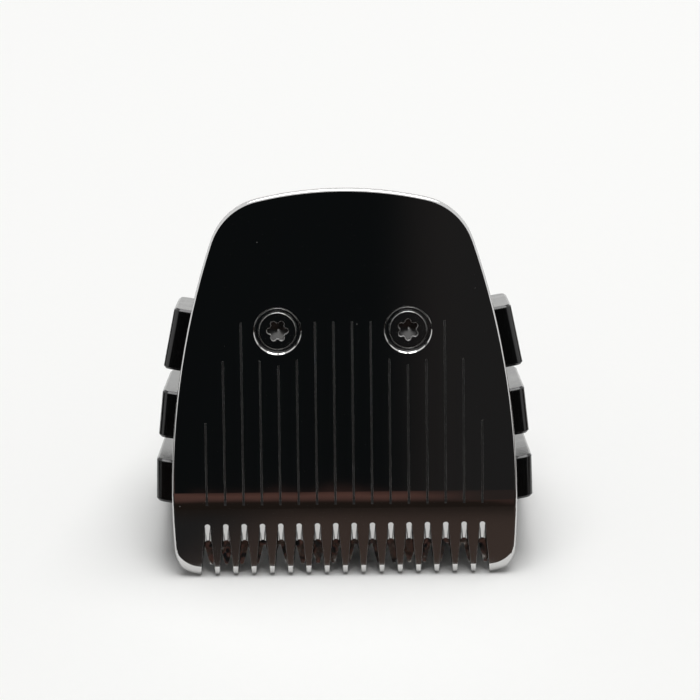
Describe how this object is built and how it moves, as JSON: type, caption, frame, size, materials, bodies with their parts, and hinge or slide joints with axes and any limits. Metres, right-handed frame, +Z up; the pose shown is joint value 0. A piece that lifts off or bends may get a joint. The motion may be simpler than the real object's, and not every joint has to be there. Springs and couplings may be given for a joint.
{
  "type": "hair clipper blade",
  "caption": "Click-on hair clipper blade head: polished toothed guard plate, sliding cutter comb behind it, sprung drive carrier and black housing with stepped grip ribs.",
  "frame": {"origin": "centre of the footprint on the floor that the head stands on", "axes": "+Z up, +X along the row of teeth, -Y towards the front of the plate; the plate leans back 18 degrees"},
  "size_m": [0.0392, 0.0302, 0.0386],
  "materials": {
    "guard_steel": "mirror polished stainless steel with fine etched lines",
    "screw_steel": "bright turned steel",
    "cutter_steel": "ground steel",
    "carrier_plastic": "dark low-friction moulding",
    "housing_plastic": "semi-gloss black moulding",
    "spring_steel": "drawn spring wire"
  },
  "bodies": {
    "head": {"guard_blade": "guard_steel", "blade_screws": "screw_steel", "housing": "housing_plastic", "pressure_springs": "spring_steel"},
    "cutter": {"cutter_blade": "cutter_steel", "cutter_carrier": "carrier_plastic"}
  },
  "joints": [
    {"name": "cutter_slide", "type": "slide", "parent": "head", "child": "cutter", "axis": [1, 0, 0], "range_m": [-0.00152, 0.00088]}
  ]
}
